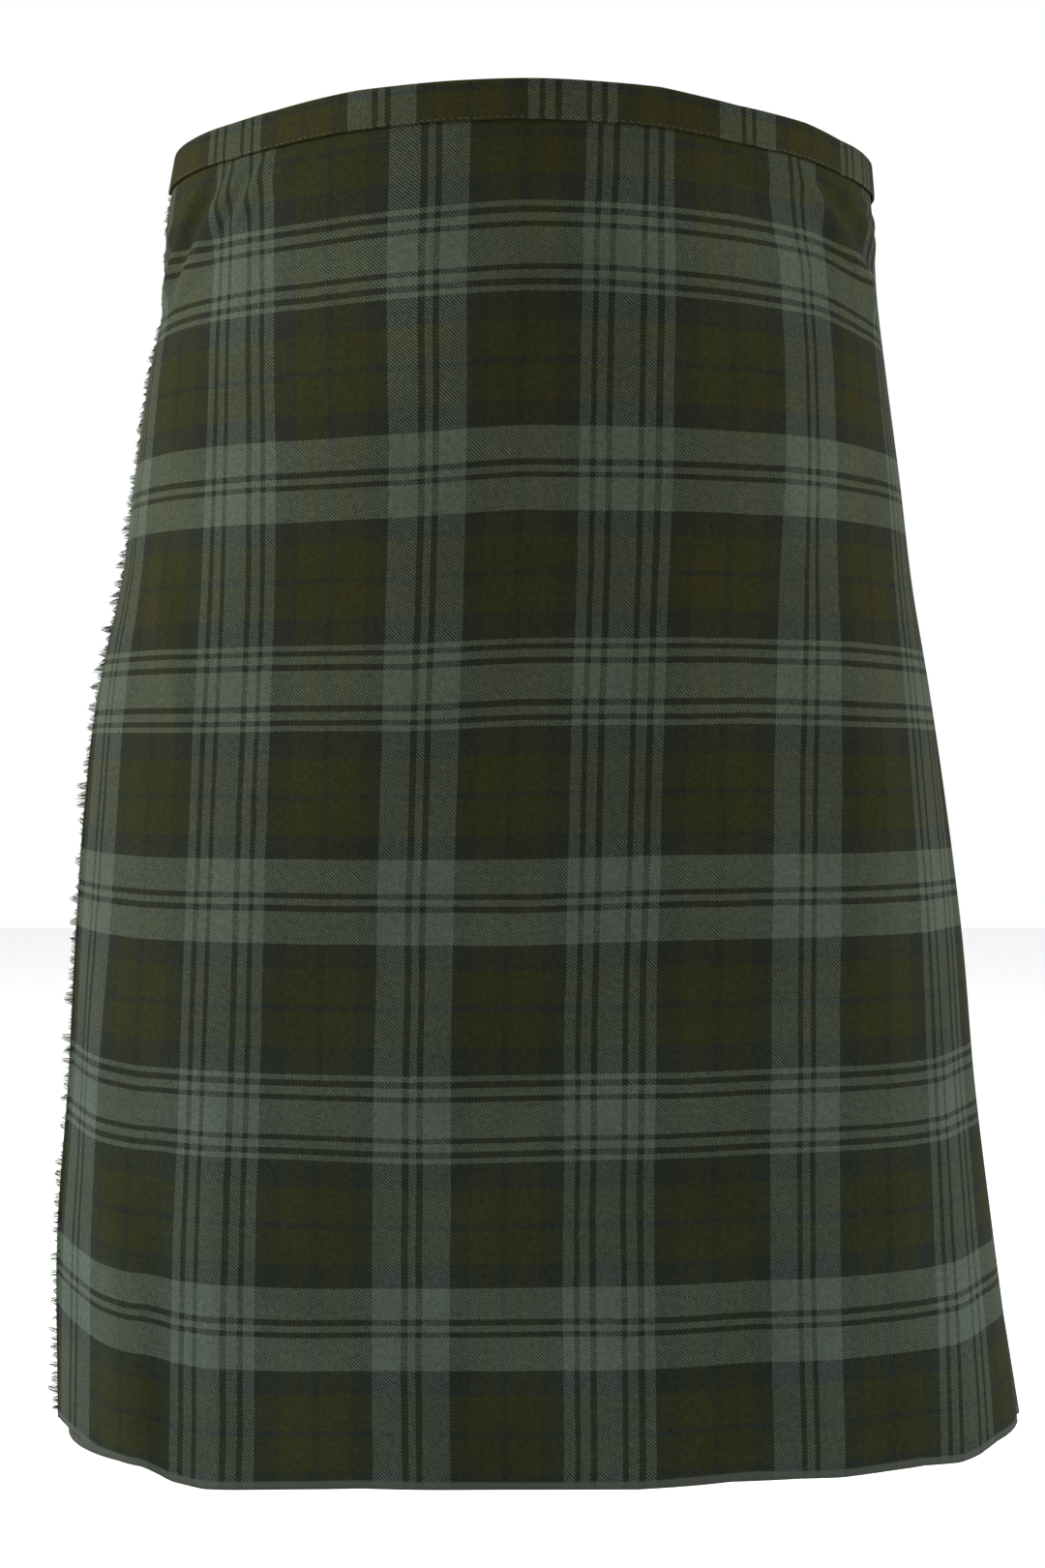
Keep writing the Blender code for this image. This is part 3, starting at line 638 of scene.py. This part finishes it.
def cloth_material(name, twill_sign=1.0, warp_start=WARP_START, yarn_only=False, browner=0.0):
    material = bpy.data.materials.new(name)
    n = Nodes(material)
    uv = n.node("ShaderNodeUVMap", 0, {"uv_map": "cloth"})
    parts = n.tree.nodes.new("ShaderNodeSeparateXYZ")
    n.link(uv, parts.inputs[0])
    drift = n.noise(uv, 14.0, 2.0)
    u = n.math("MULTIPLY_ADD", n.math("SUBTRACT", drift, 0.5), 0.0022, parts.outputs[0])
    drift_two = n.noise(n.node("ShaderNodeMapping", 0, None, Vector=uv, Location=(3.1, 1.7, 0)), 14.0, 2.0)
    v = n.math("MULTIPLY_ADD", n.math("SUBTRACT", drift_two, 0.5), 0.0018, parts.outputs[1])
    warp_thread = n.math("SNAP", u, THREAD)
    weft_thread = n.math("SNAP", v, THREAD)
    warp, warp_olive = n.stripes(
        n.math("SUBTRACT", warp_thread, warp_start), WARP_ROWS, WARP_HALF, WARP_YARNS)
    weft, weft_olive = n.stripes(weft_thread, WEFT_ROWS, WEFT_HALF, WEFT_YARNS)

    # The twill: diagonal lines that fall from upper left to lower right
    along = n.math("MULTIPLY_ADD", v, -twill_sign, u)
    wander = n.noise(uv, 900.0, 1.0)
    along = n.math("MULTIPLY_ADD", n.math("SUBTRACT", wander, 0.5), 0.0007, along)
    phase = n.math("FRACT", n.math("DIVIDE", along, TWILL))
    ridge = n.math("COSINE", n.math("MULTIPLY", n.math("SUBTRACT", phase, 0.5), 2 * math.pi))
    weft_share = n.remap(ridge, -0.70, 0.30, 0.03, 0.97, smooth=True)
    colour = weft if yarn_only else n.mix(weft_share, warp, weft)

    # Brushed surface: fine fibres, heather, and broad unevenness of the dye
    fibre = n.noise(n.node("ShaderNodeMapping", 0, None, Vector=uv, Scale=(1.0, 1.6, 1.0)), 1700.0, 2.0)
    heather = n.noise(uv, 420.0, 3.0, 0.6)
    broad = n.noise(uv, 16.0, 3.0, 0.6)
    brightness = n.math(
        "MULTIPLY",
        n.remap(fibre, 0.2, 0.8, 0.55, 1.45),
        n.math("MULTIPLY", n.remap(heather, 0.25, 0.75, 0.76, 1.24), n.remap(broad, 0.3, 0.7, 0.88, 1.12)),
    )
    colour = n.mix(1.0, colour, n.node("ShaderNodeCombineColor", 0, None, Red=brightness, Green=brightness,
                                      Blue=brightness), "MULTIPLY")
    down = n.remap(parts.outputs[1], -0.07, 0.54)
    patches = n.remap(n.noise(uv, 22.0, 2.0, 0.6), 0.48, 0.72, 0.0, 1.0, smooth=True)
    brown = n.math("MULTIPLY", patches, n.remap(down, 0.0, 0.55, 0.75, 0.10))
    olive = n.math("ADD", n.math("MULTIPLY", warp_olive, 0.4), n.math("MULTIPLY", weft_olive, 0.6))
    brown = n.math("MULTIPLY", n.math("ADD", brown, browner), olive)
    colour = n.mix(brown, colour, n.mix(1.0, colour, (1.42, 1.06, 0.72), "MULTIPLY"))
    hem_tint = n.remap(down, 0.35, 1.0, 0.0, 1.0, smooth=True)
    colour = n.mix(hem_tint, colour, n.mix(1.0, colour, (1.04, 1.12, 1.26), "MULTIPLY"))
    selvedge = n.remap(v, 0.5335, 0.5342, 0.0, 0.75)
    colour = n.mix(selvedge, colour, SELVEDGE)
    n.link(colour, n.shader.inputs["Base Color"])

    # Relief of the weave and nap
    thread_wave = n.math("COSINE", n.math("MULTIPLY", v, 2 * math.pi / THREAD))
    height = n.math("MULTIPLY_ADD", ridge, 0.5, n.math("MULTIPLY", thread_wave, 0.12))
    height = n.math("MULTIPLY_ADD", fibre, 1.5, height)
    height = n.math("MULTIPLY_ADD", heather, 1.2, height)
    bump = n.node("ShaderNodeBump", 0, None, Strength=0.55, Distance=0.00022, Height=height)
    n.link(bump, n.shader.inputs["Normal"])
    n.link(n.remap(fibre, 0.3, 0.7, 0.80, 0.98), n.shader.inputs["Roughness"])
    n.shader.inputs["Specular IOR Level"].default_value = 0.02
    n.shader.inputs["Sheen Weight"].default_value = 0.010
    n.shader.inputs["Sheen Roughness"].default_value = 0.4
    n.shader.inputs["Sheen Tint"].default_value = (0.9, 0.9, 0.45, 1)
    return material


def leather_material(name):
    material = bpy.data.materials.new(name)
    n = Nodes(material)
    place_ = n.node("ShaderNodeTexCoord", 3)
    grain = n.node("ShaderNodeTexVoronoi", 0, {"feature": "DISTANCE_TO_EDGE"}, Vector=place_, Scale=900.0)
    fine = n.noise(place_, 2600.0, 3.0)
    wear = n.noise(place_, 70.0, 4.0, 0.65)
    colour = n.mix(n.remap(wear, 0.35, 0.75), (0.012, 0.010, 0.009), (0.030, 0.025, 0.021))
    n.link(colour, n.shader.inputs["Base Color"])
    height = n.math("MULTIPLY_ADD", n.remap(grain, 0.0, 0.12), 0.7, n.math("MULTIPLY", fine, 0.3))
    bump = n.node("ShaderNodeBump", 0, None, Strength=0.5, Distance=0.00015, Height=height)
    n.link(bump, n.shader.inputs["Normal"])
    n.link(n.remap(wear, 0.3, 0.7, 0.36, 0.56), n.shader.inputs["Roughness"])
    return material


def metal_material(name):
    material = bpy.data.materials.new(name)
    n = Nodes(material)
    place_ = n.node("ShaderNodeTexCoord", 3)
    scratches = n.noise(n.node("ShaderNodeMapping", 0, None, Vector=place_, Scale=(1.0, 1.0, 9.0)), 900.0, 3.0)
    cloud = n.noise(place_, 160.0, 3.0, 0.6)
    n.link(n.mix(n.remap(cloud, 0.35, 0.7), (0.50, 0.49, 0.46), (0.62, 0.61, 0.58)), n.shader.inputs["Base Color"])
    n.shader.inputs["Metallic"].default_value = 1.0
    n.link(n.remap(scratches, 0.3, 0.7, 0.22, 0.42), n.shader.inputs["Roughness"])
    n.link(n.node("ShaderNodeBump", 0, None, Strength=0.15, Distance=0.00005, Height=scratches), n.shader.inputs["Normal"])
    return material


def thread_material(name, colour):
    material = bpy.data.materials.new(name)
    n = Nodes(material)
    place_ = n.node("ShaderNodeTexCoord", 3)
    twist = n.noise(place_, 2200.0, 2.0)
    lighter = tuple(1.5 * c for c in colour)
    n.link(n.mix(n.remap(twist, 0.3, 0.7), colour, lighter), n.shader.inputs["Base Color"])
    n.shader.inputs["Roughness"].default_value = 0.7
    n.link(n.node("ShaderNodeBump", 0, None, Strength=0.4, Distance=0.0001, Height=twist), n.shader.inputs["Normal"])
    return material


def plain_material(name, colour, roughness):
    material = bpy.data.materials.new(name)
    n = Nodes(material)
    n.shader.inputs["Base Color"].default_value = (*colour, 1)
    n.shader.inputs["Roughness"].default_value = roughness
    return material


# Pieces


def make_over_apron(cloth):
    heights = fine_heights(196, 0.45)
    points, left, right, v = rows_of(over_apron_profile, heights, rising=True)
    obj = grid_object("over_apron_cloth", points, left, right, v, cloth)
    thicken(obj, WALL)
    dress(obj, "over_apron")
    return obj


def make_back(cloth):
    made = []
    heights = fine_heights(96, 0.2)
    for first, side in zip(range(1, PLEATS, PLEATS_A_PIECE), ("left", "centre", "right")):
        points, left, right, v = rows_of(lambda height, first=first: back_profile(first, height), heights)
        obj = grid_object(f"back_pleats_{side}_cloth", points, left, right, v, cloth)
        thicken(obj, WALL)
        dress(obj, f"back_pleats_{side}")
        made.append(obj)
    return made


def make_under_apron(cloth):
    points, left, right, v = rows_of(under_apron_profile, fine_heights(120, 0.3))
    obj = grid_object("under_apron_cloth", points, left, right, v, cloth)
    thicken(obj, WALL)
    dress(obj, "under_apron")
    return obj


YARNS = 1300
BAND_ROWS = (0.0, 0.02, 0.06, 0.14, 0.30, 0.50, 0.70, 0.86, 0.94, 0.98, 1.0)
BAND_SET_BACK = (0.6, 0.22, 0.05, 0.0, -0.05, -0.1, -0.05, 0.0, 0.1, 0.32, 0.75)
BAND_GRAIN = -0.0155
BAND_WEFT_MIDDLE = 0.0537


def make_waistband(cloth):
    """A strip along the top edge, thick, with its long edges rolled in."""
    outer = BAND_GAP + BAND_WALL / 2
    inner = UNDER_LAYER + WALL / 2 + GAP + BAND_WALL / 2
    points, measure_u, measure_v = [], [], []
    for t, back in zip(BAND_ROWS, BAND_SET_BACK):
        height = TOP - BAND_WIDTH * t
        start = FRINGE_RUN + lean(height)
        dive_from = pleat_edge(PLEATS, height) + 0.002
        dive_to = fringe_edge(height) - 0.004
        end = girth(height) + UNDER_EDGE_RUN + lean(height)
        run = np.concatenate([
            np.linspace(start, dive_from, 330), np.linspace(dive_from, dive_to, 14)[1:],
            np.linspace(dive_to, end, 130)[1:],
        ])
        out = outer + (inner - outer) * ease((run - dive_from) / (dive_to - dive_from))
        shown = ease((dive_from - run) / 0.01)
        soft = 0.00012 * np.sin(run * 140) + 0.0001 * np.sin(run * 61 + 1)
        row = place(run, height, out + shown * (soft - back * 0.0005))
        if t == 1.0:
            row[:, 2] += 0.0002 * np.sin(run * 95) + 0.00015 * np.sin(run * 233 + 2)
        points.append(row)
        measure_u.append(run - BAND_GRAIN)
        measure_v.append(np.full(len(run), BAND_WEFT_MIDDLE + BAND_WIDTH * (t - 0.5)))
    u = np.array(measure_u)
    obj = grid_object("waistband_cloth", np.array(points), u[:, :-1], u[:, 1:], np.array(measure_v), cloth)
    thicken(obj, BAND_WALL)
    dress(obj, "waistband")
    return obj


def tube_mesh(name, paths, radii, sides, material, uvs=None):
    """Many thin tubes as one mesh. Each path is an array of points, with a radius at each point."""
    points, faces, loops = [], [], []
    for number, (path, radius) in enumerate(zip(paths, radii)):
        path = np.asarray(path, float)
        along = np.gradient(path, axis=0)
        along /= np.linalg.norm(along, axis=1, keepdims=True) + 1e-12
        helper = np.array([0.0, 0.0, 1.0]) if abs(along[0][2]) < 0.8 else np.array([1.0, 0.0, 0.0])
        first = np.cross(along, helper)
        first /= np.linalg.norm(first, axis=1, keepdims=True) + 1e-12
        second = np.cross(along, first)
        base = len(points)
        angles = np.linspace(0, 2 * math.pi, sides, endpoint=False)
        for at, a, b, r in zip(path, first, second, np.broadcast_to(radius, len(path))):
            points.extend(at + r * (math.cos(w) * a + math.sin(w) * b) for w in angles)
        for i in range(len(path) - 1):
            for j in range(sides):
                k = (j + 1) % sides
                quad = (base + i * sides + j, base + i * sides + k, base + (i + 1) * sides + k, base + (i + 1) * sides + j)
                faces.append(quad)
                if uvs is not None:
                    loops.extend((uvs[number][i], uvs[number][i], uvs[number][i + 1], uvs[number][i + 1]))
        for start, order in ((base, -1), (base + (len(path) - 1) * sides, 1)):
            faces.append(tuple(range(start, start + sides))[::order])
            if uvs is not None:
                at = 0 if order == -1 else len(path) - 1
                loops.extend([uvs[number][at]] * sides)
    mesh = bpy.data.meshes.new(name)
    mesh.from_pydata([tuple(p) for p in points], [], faces)
    if uvs is not None:
        layer = mesh.uv_layers.new(name="cloth")
        layer.data.foreach_set("uv", np.array(loops, float).reshape(-1))
    mesh.shade_smooth()
    mesh.update()
    obj = bpy.data.objects.new(name, mesh)
    bpy.context.scene.collection.objects.link(obj)
    mesh.materials.append(material)
    return obj


def make_fringe(yarn):
    """Weft yarns left loose past the apron's edge, drawn together in uneven tufts."""
    chance = np.random.default_rng(RANDOM_SEED)
    top = TOP - BAND_WIDTH - 0.001
    bottom = HEM + 0.003
    middles = [top]
    while middles[-1] > bottom:
        middles.append(middles[-1] - chance.uniform(0.0024, 0.0062))
    middles = np.array(middles)
    tuft_reach = chance.uniform(0.45, 1.15, len(middles))
    tuft_stand = chance.uniform(0.15, 1.0, len(middles))
    tuft_turn = chance.uniform(-0.0016, 0.0012, len(middles))
    paths, radii, uvs = [], [], []
    for i, height in enumerate(np.linspace(top, bottom, YARNS)):
        tuft = int(np.argmin(np.abs(middles - height)))
        worn = 0.55 + 0.45 * float(ease((drop(height) - 0.15) / 0.25))
        reach = worn * (0.0085 * tuft_reach[tuft] + chance.uniform(-0.0015, 0.0012))
        stand = worn * (0.0040 * tuft_stand[tuft] + chance.uniform(-0.0004, 0.0008))
        gather = (middles[tuft] - height) * chance.uniform(0.35, 0.75) + tuft_turn[tuft]
        gather += chance.uniform(-0.0005, 0.0005)
        edge = FRINGE_RUN + lean(height)
        root_out = TOP_LAYER + float(relief(np.array([edge]), height)[0]) + chance.uniform(-0.0003, 0.0004)
        v = float(cloth_v(np.array([edge]), height)[0])
        path, uv = [], []
        for t in (-0.10, 0.12, 0.40, 0.70, 1.0):
            run = edge - reach * t
            out = root_out + stand * t ** 1.5 + 0.0003 * math.sin(6 * t + i)
            point = place(np.array([run]), height, np.array([out]))[0]
            point[2] += float(hem_rise(np.array([run]), height)[0]) + gather * t * t
            point[2] = max(point[2], HEM + 0.0005)
            path.append(point)
            uv.append((run, v))
        paths.append(path)
        radii.append(np.array([1.0, 1.0, 0.95, 0.8, 0.45]) * chance.uniform(0.00016, 0.00026))
        uvs.append(uv)
    obj = tube_mesh("fringe_yarns", paths, radii, 3, yarn, uvs)
    dress(obj, "apron_fringe")
    return obj


def stitch(start, end, lift, bury):
    """One stitch as a short bowed path between two points, lifted along a direction."""
    start, end = np.asarray(start), np.asarray(end)
    return [start - lift * bury, start + (end - start) * 0.2 + lift * 0.6, start + (end - start) * 0.5 + lift,
            start + (end - start) * 0.8 + lift * 0.6, end - lift * bury]


def make_fell_stitches(thread):
    """A row of stitches down each pleat's fold edge, from the waistband to the seat."""
    paths = []
    for index in range(0, PLEATS + 1):
        height = TOP - BAND_WIDTH - 0.002
        while height > -0.112:
            ends = []
            for at in (height, height - 0.0028):
                run = np.array([pleat_edge(index, at) - 0.0022])
                level = strip_level(index, run, at) if index else run * 0 + TOP_LAYER + relief(run, at)
                ends.append((place(run, at, level + WALL / 2)[0], place(run, at, level + WALL / 2 + 0.001)[0]))
            lift = (ends[0][1] - ends[0][0]) * 0.35
            paths.append(stitch(ends[0][0], ends[1][0], lift, 1.2))
            height -= 0.0043
    obj = tube_mesh("fell_stitches", paths, [0.00021] * len(paths), 6, thread)
    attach(obj, "root")
    return obj


def make_band_stitches(thread):
    """The seam that holds the waistband on, just above its lower edge on the outside."""
    paths = []
    height = TOP - BAND_WIDTH + 0.0006
    start = FRINGE_RUN + lean(height) + 0.002
    run = start
    end = pleat_edge(PLEATS, height)
    while run < end:
        out = BAND_GAP + BAND_WALL - 0.0003
        a = place(np.array([run]), height, np.array([out]))[0]
        b = place(np.array([run + 0.0022]), height, np.array([out]))[0]
        up = place(np.array([run]), height, np.array([out + 0.001]))[0] - a
        paths.append(stitch(a, b, up * 0.22, 1.0))
        run += 0.0034
    obj = tube_mesh("waistband_stitches", paths, [0.00016] * len(paths), 5, thread)
    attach(obj, "root")
    return obj


# Straps and buckles


def hip_place(side, along, across, out):
    if side == "right":
        run = fringe_edge(STRAP_HEIGHT) - along
    else:
        run = pleat_edge(0, STRAP_HEIGHT) + along
    half = BUCKLE_WIDTH / 2
    lower = place(np.array([run]), STRAP_HEIGHT - half, np.array([out]))[0]
    upper = place(np.array([run]), STRAP_HEIGHT + half, np.array([out]))[0]
    return lower + (upper - lower) * (across + half) / (2 * half)


HIDDEN_PATHS = {
    "right": ((-0.020, -0.0031), (-0.010, -0.0031), (0.000, -0.0031), (0.010, -0.0027), (0.021, 0.0012)),
    "left": (
        (-0.054, -0.0028), (-0.044, -0.0028), (-0.034, -0.0028), (-0.020, -0.0048), (-0.010, -0.0048),
        (0.001, -0.0046), (0.010, -0.0015), (0.020, 0.0015),
    ),
}
SHOWN_PATH = (
    (0.027, 0.0018), (0.036, 0.0018), (0.044, 0.0018), (0.048, 0.0024), (0.053, 0.0056), (0.057, 0.0082),
    (0.062, 0.0096), (0.067, 0.0090), (0.075, 0.0063), (0.085, 0.0054), (0.097, 0.0052), (0.104, 0.0046),
    (0.110, 0.0038), (0.114, 0.0034),
)
STRAP_SLOT = (0.047, 0.0625)
TIP_START = 0.104
TIP_ROUNDING = 0.9
TAB_LOWER = (0.096, 0.084, 0.072)
TAB_UPPER = (0.084, 0.096)
TAB_COMING_DOWN = ((0.067, 0.0059), (0.074, 0.0039))


def smooth_path(path, per_step):
    """A Catmull-Rom curve through the points of a path."""
    path = np.asarray(path, float)
    padded = np.vstack([2 * path[0] - path[1], path, 2 * path[-1] - path[-2]])
    made = []
    for i in range(len(path) - 1):
        a, b, c, d = padded[i:i + 4]
        for t in np.linspace(0, 1, per_step, endpoint=False):
            made.append(0.5 * (2 * b + (c - a) * t + (2 * a - 5 * b + 4 * c - d) * t**2 + (3 * b - a - 3 * c + d) * t**3))
    return np.array([*made, path[-1]])


def strip_object(name, rows, wall, material, holes):
    """A strip of leather from rows of points, thickened, with its edges rounded."""
    mesh = bmesh.new()
    grid = [[mesh.verts.new(point) for point in row] for row in rows]
    for i, (upper, lower) in enumerate(zip(grid, grid[1:])):
        for j in range(len(upper) - 1):
            if (i, j) not in holes:
                mesh.faces.new((upper[j], lower[j], lower[j + 1], upper[j + 1]))
    bmesh.ops.delete(mesh, geom=[v for v in mesh.verts if not v.link_faces], context="VERTS")
    sheet = bpy.data.meshes.new(name)
    mesh.to_mesh(sheet)
    mesh.free()
    obj = bpy.data.objects.new(name, sheet)
    bpy.context.scene.collection.objects.link(obj)
    sheet.materials.append(material)
    thicken(obj, wall)
    bevel = obj.modifiers.new("edges", "BEVEL")
    bevel.width = 0.0004
    bevel.segments = 2
    bevel.limit_method = "ANGLE"
    bevel.angle_limit = math.radians(50)
    sheet.shade_smooth()
    return obj


def strap_half_width(along, tip):
    if along <= TIP_START:
        return STRAP_WIDTH / 2
    t = (along - TIP_START) / (tip - TIP_START)
    return STRAP_WIDTH / 2 * math.sqrt(max(0.02, 1 - TIP_ROUNDING * t * t))


def make_strap(side, leather, thread):
    path = smooth_path(HIDDEN_PATHS[side] + SHOWN_PATH, 5)
    tip = path[-1][0]
    rows = []
    for along, out in path:
        half = strap_half_width(along, tip)
        slot = min(SLOT_WIDTH / 2, half * 0.5)
        spread = (-half, -half * 0.72, -slot, slot, half * 0.72, half)
        rows.append([hip_place(side, along, across, out) for across in spread])
    holes = {
        (i, 2) for i in range(len(path) - 1)
        if path[i][0] >= STRAP_SLOT[0] - 1e-6 and path[i + 1][0] <= STRAP_SLOT[1]
    }
    obj = strip_object(f"strap_{side}_leather", rows, STRAP_WALL, leather, holes)
    dress(obj, f"strap_{side}")
    paths = []
    for along, out in path[::2]:
        if along < 0.024 or along > 0.101 or 0.045 < along < 0.070:
            continue
        for across in (-STRAP_WIDTH / 2 + 0.0028, STRAP_WIDTH / 2 - 0.0028):
            for shift in (0.0, 0.0022):
                at = along + shift
                level = float(np.interp(at, path[:, 0], path[:, 1])) + STRAP_WALL / 2
                a, b = hip_place(side, at, across, level), hip_place(side, at + 0.0015, across, level)
                lift = hip_place(side, at, across, level + 0.001) - a
                paths.append(stitch(a, b, lift * 0.25, 1.5))
    stitches = tube_mesh(f"strap_{side}_stitches", paths, [0.00022] * len(paths), 5, thread)
    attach(stitches, "root")


def make_tab(side, leather):
    lower = 2 * GAP + TAB_WALL / 2
    radius = WIRE + BAR_CLEAR + TAB_WALL / 2
    points = [(along, lower) for along in TAB_LOWER]
    for step in range(13):
        angle = -math.pi / 2 - math.pi * step / 12
        points.append((HEEL_BAR[0] + radius * math.cos(angle), HEEL_BAR[1] + radius * math.sin(angle)))
    upper = lower + TAB_WALL + GAP
    points += [*TAB_COMING_DOWN, *((along, upper) for along in TAB_UPPER)]
    half = TAB_WIDTH / 2
    across = (-half, -half * 0.6, -SLOT_WIDTH / 2, SLOT_WIDTH / 2, half * 0.6, half)
    path = smooth_path(points, 2)
    rows = [[hip_place(side, along, a, out) for a in across] for along, out in path]
    holes = {(i, 2) for i in range(4, 38) if i < len(path) - 5}
    obj = strip_object(f"buckle_tab_{side}_leather", rows, TAB_WALL, leather, holes)
    dress(obj, f"buckle_tab_{side}")


def make_buckle(side, metal):
    points = []
    middle = (FRONT_BAR[0] + HEEL_BAR[0]) / 2
    half_long = (HEEL_BAR[0] - FRONT_BAR[0]) / 2
    half_wide = BUCKLE_WIDTH / 2
    for sign_along, sign_across, start in ((1, 1, 0), (-1, 1, 90), (-1, -1, 180), (1, -1, 270)):
        for step in range(9):
            angle = math.radians(start + 90 * step / 8)
            along = sign_along * (half_long - BUCKLE_CORNER) + BUCKLE_CORNER * math.cos(angle)
            across = sign_across * (half_wide - BUCKLE_CORNER) + BUCKLE_CORNER * math.sin(angle)
            share = (along + half_long) / (2 * half_long)
            out = FRONT_BAR[1] + (HEEL_BAR[1] - FRONT_BAR[1]) * share
            points.append(hip_place(side, middle + along, across, out))
    points.append(points[0])
    obj = tube_mesh(f"buckle_{side}_steel", [points], [WIRE], 16, metal)
    dress(obj, f"buckle_{side}")
    radius = WIRE + BAR_CLEAR + PRONG_WIRE
    path = []
    for step in range(20):
        angle = math.radians(-165 + 255 * step / 19)
        path.append((HEEL_BAR[0] + radius * math.cos(angle), HEEL_BAR[1] + radius * math.sin(angle)))
    rest = FRONT_BAR[1] + WIRE + GAP + PRONG_WIRE
    for t in np.linspace(0.1, 1, 12):
        along = HEEL_BAR[0] + (FRONT_BAR[0] - 0.002 - HEEL_BAR[0]) * t
        path.append((along, HEEL_BAR[1] + radius + (rest - HEEL_BAR[1] - radius) * ease(t * 1.3)))
    points = [hip_place(side, along, 0.0, float(out)) for along, out in path]
    sizes = np.concatenate([np.full(len(path) - 2, PRONG_WIRE), [PRONG_WIRE * 0.85, PRONG_WIRE * 0.5]])
    obj = tube_mesh(f"prong_{side}_steel", [points], [sizes], 12, metal)
    dress(obj, f"prong_{side}")


# Camera, lights and floor


def make_camera():
    camera = bpy.data.cameras.new("camera")
    camera.lens = 55.64
    camera.sensor_fit = "VERTICAL"
    camera.sensor_height = 36.0
    obj = bpy.data.objects.new("camera", camera)
    bpy.context.scene.collection.objects.link(obj)
    obj.location = (0.0, -1.170, -0.2967)
    obj.rotation_euler = (math.pi / 2, 0, 0)
    camera.clip_start = 0.05
    bpy.context.scene.camera = obj


def add_light(name, location, target, size, power):
    light = bpy.data.lights.new(name, "AREA")
    light.shape = "RECTANGLE"
    light.size, light.size_y = size
    light.energy = power
    obj = bpy.data.objects.new(name, light)
    bpy.context.scene.collection.objects.link(obj)
    obj.location = location
    direction = np.array(target) - np.array(location)
    from mathutils import Vector
    obj.rotation_euler = Vector(direction).to_track_quat("-Z", "Y").to_euler()


def make_studio():
    world = bpy.data.worlds.new("studio")
    bpy.context.scene.world = world
    world.use_nodes = True
    background = world.node_tree.nodes["Background"]
    background.inputs[0].default_value = (1.0, 1.0, 1.0, 1)
    background.inputs[1].default_value = 1.0
    bpy.context.scene.view_settings.view_transform = "Standard"
    add_light("key", (-2.6, -0.40, 0.6), (0, 0, -0.35), (1.0, 1.4), 160)
    add_light("fill", (2.6, -0.35, 0.3), (0, 0, -0.3), (1.0, 1.4), 90)
    floor = bpy.data.meshes.new("floor")
    size = 6.0
    floor.from_pydata([(-size, -size, 0), (size, -size, 0), (size, size, 0), (-size, size, 0)], [], [(0, 1, 2, 3)])
    obj = bpy.data.objects.new("floor", floor)
    obj.location = (0, 0, HEM - 0.12)
    bpy.context.scene.collection.objects.link(obj)
    floor.materials.append(plain_material("pale floor", (0.86, 0.86, 0.86), 0.9))


def main():
    make_camera()
    make_studio()
    cloth = cloth_material("tartan twill")
    band_cloth = cloth_material("tartan band", twill_sign=-1.0, browner=0.25)
    yarn = cloth_material("tartan yarn", yarn_only=True)
    leather = leather_material("black leather")
    metal = metal_material("nickel steel")
    dark_thread = thread_material("dark thread", (0.012, 0.013, 0.010))
    over = make_over_apron(cloth)
    back = make_back(cloth)
    under = make_under_apron(cloth)
    band = make_waistband(band_cloth)
    fringe = make_fringe(yarn)
    make_fell_stitches(dark_thread)
    make_band_stitches(dark_thread)
    for side in ("right", "left"):
        make_strap(side, leather, dark_thread)
        make_tab(side, leather)
        make_buckle(side, metal)


main()
